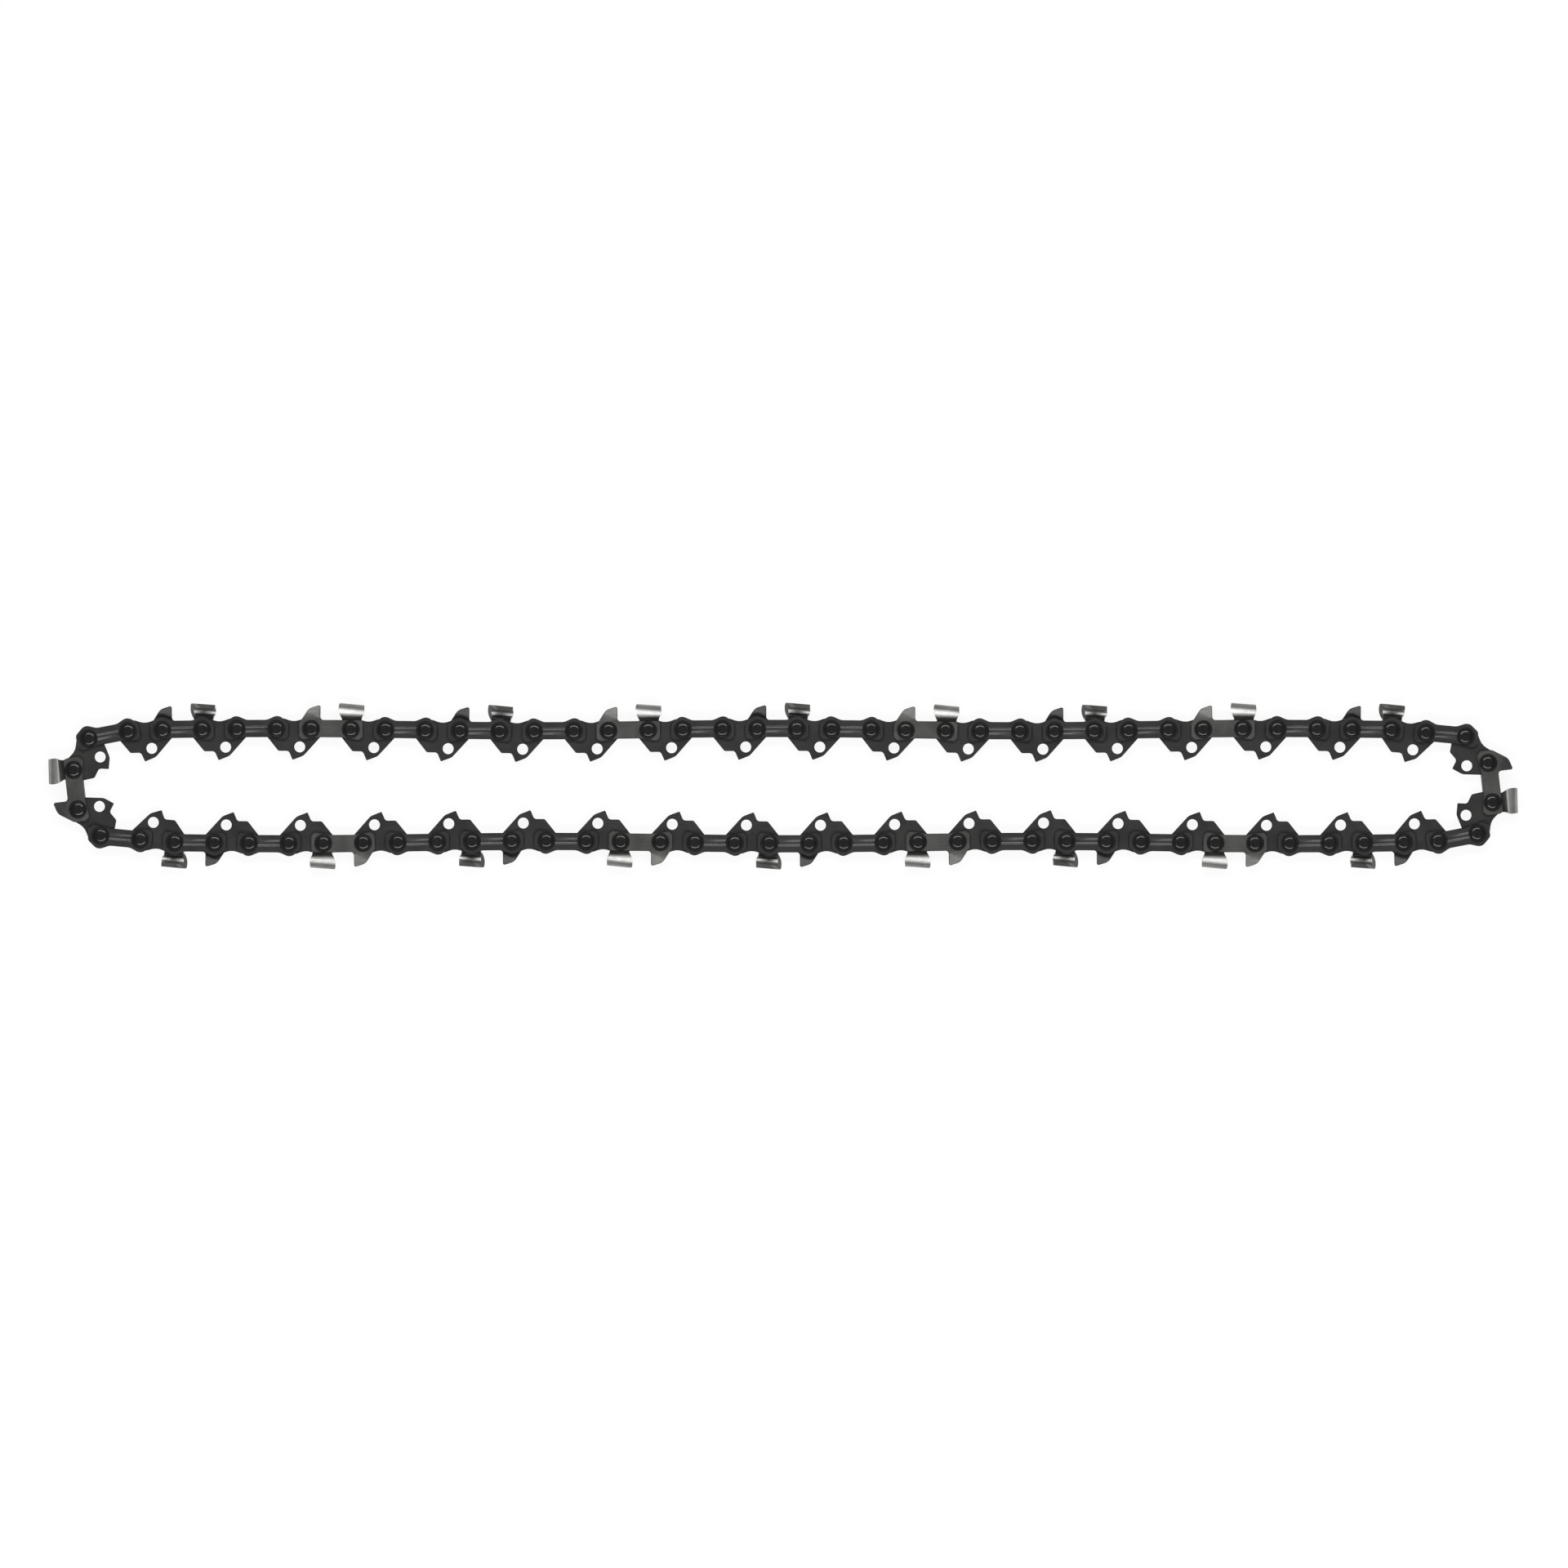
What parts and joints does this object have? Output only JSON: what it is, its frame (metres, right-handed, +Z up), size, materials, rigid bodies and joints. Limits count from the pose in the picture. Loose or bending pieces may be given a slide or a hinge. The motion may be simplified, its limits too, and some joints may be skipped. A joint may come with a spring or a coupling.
{
  "type": "chainsaw chain loop",
  "caption": "Closed loop of saw chain lying on its side: hooked drive links riveted between tie straps and left and right cutters in turn. It flexes at its rivets.",
  "frame": {"origin": "middle of the loop, on the surface it lies on", "axes": "+X along the loop's long way, +Y across it, +Z up out of the surface. Seen from above the tangs point inwards, and the cutters of the run on the +Y side point to -X."},
  "size_m": [0.3686, 0.0418, 0.006],
  "materials": {
    "link_steel": "blackened, satin, lightly oiled",
    "cutter_steel": "grey, with hard chrome on the side plate and top plate"
  },
  "bodies": {
    "drive_link_01": {"drive_link_01": "link_steel"},
    "drive_link_02": {"drive_link_02": "link_steel"},
    "drive_link_03": {"drive_link_03": "link_steel"},
    "drive_link_04": {"drive_link_04": "link_steel"},
    "drive_link_05": {"drive_link_05": "link_steel"},
    "drive_link_06": {"drive_link_06": "link_steel"},
    "drive_link_07": {"drive_link_07": "link_steel"},
    "drive_link_08": {"drive_link_08": "link_steel"},
    "drive_link_09": {"drive_link_09": "link_steel"},
    "drive_link_10": {"drive_link_10": "link_steel"},
    "drive_link_11": {"drive_link_11": "link_steel"},
    "drive_link_12": {"drive_link_12": "link_steel"},
    "drive_link_13": {"drive_link_13": "link_steel"},
    "drive_link_14": {"drive_link_14": "link_steel"},
    "drive_link_15": {"drive_link_15": "link_steel"},
    "drive_link_16": {"drive_link_16": "link_steel"},
    "drive_link_17": {"drive_link_17": "link_steel"},
    "drive_link_18": {"drive_link_18": "link_steel"},
    "drive_link_19": {"drive_link_19": "link_steel"},
    "drive_link_20": {"drive_link_20": "link_steel"},
    "left_cutter_01": {"left_cutter_01": "cutter_steel"},
    "left_cutter_02": {"left_cutter_02": "cutter_steel"},
    "left_cutter_03": {"left_cutter_03": "cutter_steel"},
    "left_cutter_04": {"left_cutter_04": "cutter_steel"},
    "left_cutter_05": {"left_cutter_05": "cutter_steel"},
    "left_cutter_06": {"left_cutter_06": "cutter_steel"},
    "left_cutter_07": {"left_cutter_07": "cutter_steel"},
    "left_cutter_08": {"left_cutter_08": "cutter_steel"},
    "left_cutter_09": {"left_cutter_09": "cutter_steel"},
    "left_cutter_10": {"left_cutter_10": "cutter_steel"},
    "right_cutter_01": {"right_cutter_01": "cutter_steel"},
    "right_cutter_02": {"right_cutter_02": "cutter_steel"},
    "right_cutter_03": {"right_cutter_03": "cutter_steel"},
    "right_cutter_04": {"right_cutter_04": "cutter_steel"},
    "right_cutter_05": {"right_cutter_05": "cutter_steel"},
    "right_cutter_06": {"right_cutter_06": "cutter_steel"},
    "right_cutter_07": {"right_cutter_07": "cutter_steel"},
    "right_cutter_08": {"right_cutter_08": "cutter_steel"},
    "right_cutter_09": {"right_cutter_09": "cutter_steel"},
    "right_cutter_10": {"right_cutter_10": "cutter_steel"},
    "tie_link_01": {"tie_link_01": "link_steel"},
    "tie_link_02": {"tie_link_02": "link_steel"},
    "tie_link_03": {"tie_link_03": "link_steel"},
    "tie_link_04": {"tie_link_04": "link_steel"},
    "tie_link_05": {"tie_link_05": "link_steel"},
    "tie_link_06": {"tie_link_06": "link_steel"},
    "tie_link_07": {"tie_link_07": "link_steel"},
    "tie_link_08": {"tie_link_08": "link_steel"},
    "tie_link_09": {"tie_link_09": "link_steel"},
    "tie_link_10": {"tie_link_10": "link_steel"},
    "tie_link_11": {"tie_link_11": "link_steel"},
    "tie_link_12": {"tie_link_12": "link_steel"},
    "tie_link_13": {"tie_link_13": "link_steel"},
    "tie_link_14": {"tie_link_14": "link_steel"},
    "tie_link_15": {"tie_link_15": "link_steel"},
    "tie_link_16": {"tie_link_16": "link_steel"},
    "tie_link_17": {"tie_link_17": "link_steel"},
    "tie_link_18": {"tie_link_18": "link_steel"},
    "tie_link_19": {"tie_link_19": "link_steel"},
    "tie_link_20": {"tie_link_20": "link_steel"}
  },
  "joints": [
    {"name": "rivet_21", "type": "hinge", "parent": "right_cutter_03", "child": "tie_link_06", "pos_m": [0.00344, 0.01434, 0.003], "axis": [0, 0, 1], "range_deg": [-5.51, 0.28]},
    {"name": "rivet_23", "type": "hinge", "parent": "tie_link_06", "child": "drive_link_06", "pos_m": [0.02208, 0.01416, 0.003], "axis": [0, 0, 1], "range_deg": [-5.16, 0.26]},
    {"name": "rivet_24", "type": "hinge", "parent": "drive_link_06", "child": "left_cutter_04", "pos_m": [0.03077, 0.01403, 0.003], "axis": [0, 0, 1], "range_deg": [-5.95, 0.3]},
    {"name": "rivet_25", "type": "hinge", "parent": "left_cutter_04", "child": "tie_link_07", "pos_m": [0.04072, 0.01389, 0.003], "axis": [0, 0, 1], "range_deg": [-5.79, 0.29]},
    {"name": "rivet_27", "type": "hinge", "parent": "tie_link_07", "child": "drive_link_07", "pos_m": [0.05936, 0.01375, 0.003], "axis": [0, 0, 1], "range_deg": [-6.15, 0.31]},
    {"name": "rivet_28", "type": "hinge", "parent": "drive_link_07", "child": "right_cutter_04", "pos_m": [0.06805, 0.01377, 0.003], "axis": [0, 0, 1], "range_deg": [-5.64, 0.28]},
    {"name": "rivet_29", "type": "hinge", "parent": "right_cutter_04", "child": "tie_link_08", "pos_m": [0.078, 0.01386, 0.003], "axis": [0, 0, 1], "range_deg": [-6.19, 0.31]},
    {"name": "rivet_31", "type": "hinge", "parent": "tie_link_08", "child": "drive_link_08", "pos_m": [0.09664, 0.01412, 0.003], "axis": [0, 0, 1], "range_deg": [-5.49, 0.27]},
    {"name": "rivet_32", "type": "hinge", "parent": "drive_link_08", "child": "left_cutter_05", "pos_m": [0.10533, 0.01424, 0.003], "axis": [0, 0, 1], "range_deg": [-5.48, 0.27]},
    {"name": "rivet_33", "type": "hinge", "parent": "left_cutter_05", "child": "tie_link_09", "pos_m": [0.11528, 0.01432, 0.003], "axis": [0, 0, 1], "range_deg": [-5.53, 0.28]},
    {"name": "rivet_35", "type": "hinge", "parent": "tie_link_09", "child": "drive_link_09", "pos_m": [0.13392, 0.0143, 0.003], "axis": [0, 0, 1], "range_deg": [-5.25, 0.26]},
    {"name": "rivet_36", "type": "hinge", "parent": "drive_link_09", "child": "right_cutter_05", "pos_m": [0.14261, 0.01421, 0.003], "axis": [0, 0, 1], "range_deg": [-5.1, 0.26]},
    {"name": "rivet_37", "type": "hinge", "parent": "right_cutter_05", "child": "tie_link_10", "pos_m": [0.15255, 0.01407, 0.003], "axis": [0, 0, 1], "range_deg": [-1.81, 0.09]},
    {"name": "flex_rivet_39", "type": "hinge", "parent": "tie_link_10", "child": "drive_link_10", "pos_m": [0.17112, 0.01243, 0.003], "axis": [0, 0, 1], "range_deg": [-1.92, 38.41]},
    {"name": "flex_rivet_40", "type": "hinge", "parent": "drive_link_10", "child": "left_cutter_06", "pos_m": [0.17678, 0.00583, 0.003], "axis": [0, 0, 1], "range_deg": [-1.43, 28.63]},
    {"name": "rivet_41", "type": "hinge", "parent": "left_cutter_06", "child": "drive_link_11", "pos_m": [0.17787, -0.00406, 0.003], "axis": [0, 0, 1], "range_deg": [-1.33, 26.53]},
    {"name": "rivet_42", "type": "hinge", "parent": "drive_link_11", "child": "tie_link_11", "pos_m": [0.17407, -0.01187, 0.003], "axis": [0, 0, 1], "range_deg": [-2.38, 47.5]},
    {"name": "rivet_44", "type": "hinge", "parent": "tie_link_11", "child": "right_cutter_06", "pos_m": [0.15562, -0.01407, 0.003], "axis": [0, 0, 1], "range_deg": [-4.63, 0.23]},
    {"name": "rivet_45", "type": "hinge", "parent": "right_cutter_06", "child": "drive_link_12", "pos_m": [0.14567, -0.01421, 0.003], "axis": [0, 0, 1], "range_deg": [-5.38, 0.27]},
    {"name": "rivet_46", "type": "hinge", "parent": "drive_link_12", "child": "tie_link_12", "pos_m": [0.13698, -0.0143, 0.003], "axis": [0, 0, 1], "range_deg": [-5.4, 0.27]},
    {"name": "rivet_48", "type": "hinge", "parent": "tie_link_12", "child": "left_cutter_07", "pos_m": [0.11834, -0.01432, 0.003], "axis": [0, 0, 1], "range_deg": [-4.95, 0.25]},
    {"name": "rivet_49", "type": "hinge", "parent": "left_cutter_07", "child": "drive_link_13", "pos_m": [0.10839, -0.01424, 0.003], "axis": [0, 0, 1], "range_deg": [-5.64, 0.28]},
    {"name": "rivet_50", "type": "hinge", "parent": "drive_link_13", "child": "tie_link_13", "pos_m": [0.0997, -0.01412, 0.003], "axis": [0, 0, 1], "range_deg": [-5.49, 0.27]},
    {"name": "rivet_52", "type": "hinge", "parent": "tie_link_13", "child": "right_cutter_07", "pos_m": [0.08106, -0.01386, 0.003], "axis": [0, 0, 1], "range_deg": [-6.01, 0.3]},
    {"name": "rivet_53", "type": "hinge", "parent": "right_cutter_07", "child": "drive_link_14", "pos_m": [0.07111, -0.01377, 0.003], "axis": [0, 0, 1], "range_deg": [-6.3, 0.32]},
    {"name": "rivet_54", "type": "hinge", "parent": "drive_link_14", "child": "tie_link_14", "pos_m": [0.06242, -0.01375, 0.003], "axis": [0, 0, 1], "range_deg": [-5.67, 0.28]},
    {"name": "rivet_56", "type": "hinge", "parent": "tie_link_14", "child": "left_cutter_08", "pos_m": [0.04378, -0.01389, 0.003], "axis": [0, 0, 1], "range_deg": [-5.79, 0.29]},
    {"name": "rivet_57", "type": "hinge", "parent": "left_cutter_08", "child": "drive_link_15", "pos_m": [0.03383, -0.01403, 0.003], "axis": [0, 0, 1], "range_deg": [-5.95, 0.3]},
    {"name": "rivet_58", "type": "hinge", "parent": "drive_link_15", "child": "tie_link_15", "pos_m": [0.02515, -0.01416, 0.003], "axis": [0, 0, 1], "range_deg": [-5.59, 0.28]},
    {"name": "rivet_60", "type": "hinge", "parent": "tie_link_15", "child": "right_cutter_08", "pos_m": [0.00651, -0.01434, 0.003], "axis": [0, 0, 1], "range_deg": [-5.2, 0.26]},
    {"name": "rivet_20", "type": "hinge", "parent": "right_cutter_03", "child": "tie_link_05", "pos_m": [-0.00651, 0.01434, 0.003], "axis": [0, 0, 1], "range_deg": [-0.26, 5.2]},
    {"name": "rivet_18", "type": "hinge", "parent": "tie_link_05", "child": "drive_link_05", "pos_m": [-0.02515, 0.01416, 0.003], "axis": [0, 0, 1], "range_deg": [-0.28, 5.59]},
    {"name": "rivet_17", "type": "hinge", "parent": "drive_link_05", "child": "left_cutter_03", "pos_m": [-0.03383, 0.01403, 0.003], "axis": [0, 0, 1], "range_deg": [-0.3, 5.95]},
    {"name": "rivet_16", "type": "hinge", "parent": "left_cutter_03", "child": "tie_link_04", "pos_m": [-0.04378, 0.01389, 0.003], "axis": [0, 0, 1], "range_deg": [-0.29, 5.79]},
    {"name": "rivet_14", "type": "hinge", "parent": "tie_link_04", "child": "drive_link_04", "pos_m": [-0.06242, 0.01375, 0.003], "axis": [0, 0, 1], "range_deg": [-0.28, 5.67]},
    {"name": "rivet_13", "type": "hinge", "parent": "drive_link_04", "child": "right_cutter_02", "pos_m": [-0.07111, 0.01377, 0.003], "axis": [0, 0, 1], "range_deg": [-0.32, 6.3]},
    {"name": "rivet_12", "type": "hinge", "parent": "right_cutter_02", "child": "tie_link_03", "pos_m": [-0.08106, 0.01386, 0.003], "axis": [0, 0, 1], "range_deg": [-0.3, 6.01]},
    {"name": "rivet_10", "type": "hinge", "parent": "tie_link_03", "child": "drive_link_03", "pos_m": [-0.0997, 0.01412, 0.003], "axis": [0, 0, 1], "range_deg": [-0.27, 5.49]},
    {"name": "rivet_09", "type": "hinge", "parent": "drive_link_03", "child": "left_cutter_02", "pos_m": [-0.10839, 0.01424, 0.003], "axis": [0, 0, 1], "range_deg": [-0.28, 5.64]},
    {"name": "rivet_08", "type": "hinge", "parent": "left_cutter_02", "child": "tie_link_02", "pos_m": [-0.11834, 0.01432, 0.003], "axis": [0, 0, 1], "range_deg": [-0.25, 4.95]},
    {"name": "rivet_06", "type": "hinge", "parent": "tie_link_02", "child": "drive_link_02", "pos_m": [-0.13698, 0.0143, 0.003], "axis": [0, 0, 1], "range_deg": [-0.27, 5.4]},
    {"name": "rivet_05", "type": "hinge", "parent": "drive_link_02", "child": "right_cutter_01", "pos_m": [-0.14567, 0.01421, 0.003], "axis": [0, 0, 1], "range_deg": [-0.27, 5.38]},
    {"name": "rivet_04", "type": "hinge", "parent": "right_cutter_01", "child": "tie_link_01", "pos_m": [-0.15562, 0.01407, 0.003], "axis": [0, 0, 1], "range_deg": [-0.23, 4.63]},
    {"name": "flex_rivet_02", "type": "hinge", "parent": "tie_link_01", "child": "drive_link_01", "pos_m": [-0.17407, 0.01187, 0.003], "axis": [0, 0, 1], "range_deg": [-47.5, 2.38]},
    {"name": "flex_rivet_01", "type": "hinge", "parent": "drive_link_01", "child": "left_cutter_01", "pos_m": [-0.17787, 0.00406, 0.003], "axis": [0, 0, 1], "range_deg": [-26.53, 1.33]},
    {"name": "rivet_80", "type": "hinge", "parent": "left_cutter_01", "child": "drive_link_20", "pos_m": [-0.17678, -0.00583, 0.003], "axis": [0, 0, 1], "range_deg": [-28.63, 1.43]},
    {"name": "rivet_79", "type": "hinge", "parent": "drive_link_20", "child": "tie_link_20", "pos_m": [-0.17112, -0.01243, 0.003], "axis": [0, 0, 1], "range_deg": [-38.41, 1.92]},
    {"name": "rivet_77", "type": "hinge", "parent": "tie_link_20", "child": "right_cutter_10", "pos_m": [-0.15255, -0.01407, 0.003], "axis": [0, 0, 1], "range_deg": [-0.09, 1.81]},
    {"name": "rivet_76", "type": "hinge", "parent": "right_cutter_10", "child": "drive_link_19", "pos_m": [-0.14261, -0.01421, 0.003], "axis": [0, 0, 1], "range_deg": [-0.26, 5.1]},
    {"name": "rivet_75", "type": "hinge", "parent": "drive_link_19", "child": "tie_link_19", "pos_m": [-0.13392, -0.0143, 0.003], "axis": [0, 0, 1], "range_deg": [-0.26, 5.25]},
    {"name": "rivet_73", "type": "hinge", "parent": "tie_link_19", "child": "left_cutter_10", "pos_m": [-0.11528, -0.01432, 0.003], "axis": [0, 0, 1], "range_deg": [-0.28, 5.53]},
    {"name": "rivet_72", "type": "hinge", "parent": "left_cutter_10", "child": "drive_link_18", "pos_m": [-0.10533, -0.01424, 0.003], "axis": [0, 0, 1], "range_deg": [-0.27, 5.48]},
    {"name": "rivet_71", "type": "hinge", "parent": "drive_link_18", "child": "tie_link_18", "pos_m": [-0.09664, -0.01412, 0.003], "axis": [0, 0, 1], "range_deg": [-0.27, 5.49]},
    {"name": "rivet_69", "type": "hinge", "parent": "tie_link_18", "child": "right_cutter_09", "pos_m": [-0.078, -0.01386, 0.003], "axis": [0, 0, 1], "range_deg": [-0.31, 6.19]},
    {"name": "rivet_68", "type": "hinge", "parent": "right_cutter_09", "child": "drive_link_17", "pos_m": [-0.06805, -0.01377, 0.003], "axis": [0, 0, 1], "range_deg": [-0.28, 5.64]},
    {"name": "rivet_67", "type": "hinge", "parent": "drive_link_17", "child": "tie_link_17", "pos_m": [-0.05936, -0.01375, 0.003], "axis": [0, 0, 1], "range_deg": [-0.31, 6.15]},
    {"name": "rivet_65", "type": "hinge", "parent": "tie_link_17", "child": "left_cutter_09", "pos_m": [-0.04072, -0.01389, 0.003], "axis": [0, 0, 1], "range_deg": [-0.29, 5.79]},
    {"name": "rivet_64", "type": "hinge", "parent": "left_cutter_09", "child": "drive_link_16", "pos_m": [-0.03077, -0.01403, 0.003], "axis": [0, 0, 1], "range_deg": [-0.3, 5.95]},
    {"name": "rivet_63", "type": "hinge", "parent": "drive_link_16", "child": "tie_link_16", "pos_m": [-0.02208, -0.01416, 0.003], "axis": [0, 0, 1], "range_deg": [-0.26, 5.16]}
  ],
  "couplings": [
    {"joint": "rivet_21", "follows": "flex_rivet_02", "ratio": 0.11596},
    {"joint": "rivet_23", "follows": "flex_rivet_01", "ratio": 0.19435},
    {"joint": "rivet_24", "follows": "flex_rivet_02", "ratio": 0.1252},
    {"joint": "rivet_25", "follows": "flex_rivet_39", "ratio": -0.15081},
    {"joint": "rivet_27", "follows": "flex_rivet_40", "ratio": -0.21479},
    {"joint": "rivet_28", "follows": "flex_rivet_01", "ratio": 0.21276},
    {"joint": "rivet_29", "follows": "flex_rivet_02", "ratio": 0.13021},
    {"joint": "rivet_31", "follows": "flex_rivet_39", "ratio": -0.14306},
    {"joint": "rivet_32", "follows": "flex_rivet_40", "ratio": -0.19148},
    {"joint": "rivet_33", "follows": "flex_rivet_02", "ratio": 0.11639},
    {"joint": "rivet_35", "follows": "flex_rivet_39", "ratio": -0.1367},
    {"joint": "rivet_36", "follows": "flex_rivet_01", "ratio": 0.19238},
    {"joint": "rivet_37", "follows": "flex_rivet_02", "ratio": 0.038162},
    {"joint": "rivet_41", "follows": "flex_rivet_01", "ratio": -1},
    {"joint": "rivet_42", "follows": "flex_rivet_02", "ratio": -1},
    {"joint": "rivet_44", "follows": "flex_rivet_02", "ratio": 0.097461},
    {"joint": "rivet_45", "follows": "flex_rivet_39", "ratio": -0.14009},
    {"joint": "rivet_46", "follows": "flex_rivet_40", "ratio": -0.1886},
    {"joint": "rivet_48", "follows": "flex_rivet_01", "ratio": 0.18672},
    {"joint": "rivet_49", "follows": "flex_rivet_02", "ratio": 0.1188},
    {"joint": "rivet_50", "follows": "flex_rivet_39", "ratio": -0.14306},
    {"joint": "rivet_52", "follows": "flex_rivet_40", "ratio": -0.20987},
    {"joint": "rivet_53", "follows": "flex_rivet_02", "ratio": 0.13262},
    {"joint": "rivet_54", "follows": "flex_rivet_01", "ratio": 0.21379},
    {"joint": "rivet_56", "follows": "flex_rivet_39", "ratio": -0.15081},
    {"joint": "rivet_57", "follows": "flex_rivet_02", "ratio": 0.1252},
    {"joint": "rivet_58", "follows": "flex_rivet_40", "ratio": -0.19526},
    {"joint": "rivet_60", "follows": "flex_rivet_39", "ratio": -0.13547},
    {"joint": "rivet_20", "follows": "flex_rivet_39", "ratio": 0.13547},
    {"joint": "rivet_18", "follows": "flex_rivet_40", "ratio": 0.19526},
    {"joint": "rivet_17", "follows": "flex_rivet_02", "ratio": -0.1252},
    {"joint": "rivet_16", "follows": "flex_rivet_39", "ratio": 0.15081},
    {"joint": "rivet_14", "follows": "flex_rivet_01", "ratio": -0.21379},
    {"joint": "rivet_13", "follows": "flex_rivet_02", "ratio": -0.13262},
    {"joint": "rivet_12", "follows": "flex_rivet_40", "ratio": 0.20987},
    {"joint": "rivet_10", "follows": "flex_rivet_39", "ratio": 0.14306},
    {"joint": "rivet_09", "follows": "flex_rivet_02", "ratio": -0.1188},
    {"joint": "rivet_08", "follows": "flex_rivet_01", "ratio": -0.18672},
    {"joint": "rivet_06", "follows": "flex_rivet_40", "ratio": 0.1886},
    {"joint": "rivet_05", "follows": "flex_rivet_39", "ratio": 0.14009},
    {"joint": "rivet_04", "follows": "flex_rivet_02", "ratio": -0.097461},
    {"joint": "rivet_80", "follows": "flex_rivet_40", "ratio": -1},
    {"joint": "rivet_79", "follows": "flex_rivet_39", "ratio": -1},
    {"joint": "rivet_77", "follows": "flex_rivet_02", "ratio": -0.038162},
    {"joint": "rivet_76", "follows": "flex_rivet_01", "ratio": -0.19238},
    {"joint": "rivet_75", "follows": "flex_rivet_39", "ratio": 0.1367},
    {"joint": "rivet_73", "follows": "flex_rivet_02", "ratio": -0.11639},
    {"joint": "rivet_72", "follows": "flex_rivet_40", "ratio": 0.19148},
    {"joint": "rivet_71", "follows": "flex_rivet_39", "ratio": 0.14306},
    {"joint": "rivet_69", "follows": "flex_rivet_02", "ratio": -0.13021},
    {"joint": "rivet_68", "follows": "flex_rivet_01", "ratio": -0.21276},
    {"joint": "rivet_67", "follows": "flex_rivet_40", "ratio": 0.21479},
    {"joint": "rivet_65", "follows": "flex_rivet_39", "ratio": 0.15081},
    {"joint": "rivet_64", "follows": "flex_rivet_02", "ratio": -0.1252},
    {"joint": "rivet_63", "follows": "flex_rivet_01", "ratio": -0.19435}
  ]
}
